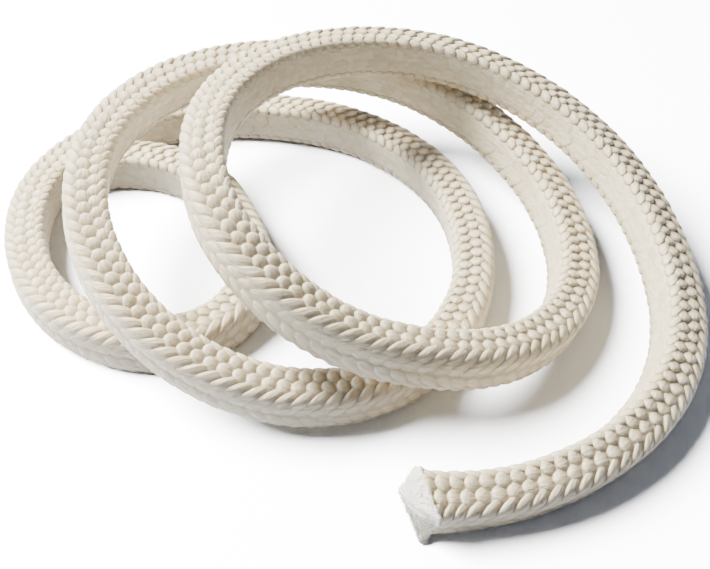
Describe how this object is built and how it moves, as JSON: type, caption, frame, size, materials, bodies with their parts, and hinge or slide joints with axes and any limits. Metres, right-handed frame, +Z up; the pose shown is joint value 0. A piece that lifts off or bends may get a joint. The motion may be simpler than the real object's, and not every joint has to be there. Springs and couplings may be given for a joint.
{
  "type": "gland packing rope coil",
  "caption": "Loose coil of square braided gland packing, laid with a bare cut end in front, from which shaft sealing rings are cut.",
  "frame": {"origin": "centre of the bounding box's bottom, on the floor that the coil lies on", "axes": "+Z up, +X along the coil's longest extent, -Y the side with the bare cut end"},
  "size_m": [0.1872, 0.1576, 0.052],
  "materials": {
    "braid": "braided, slightly waxy"
  },
  "bodies": {
    "root": {"packing_rope": "braid"}
  },
  "joints": []
}
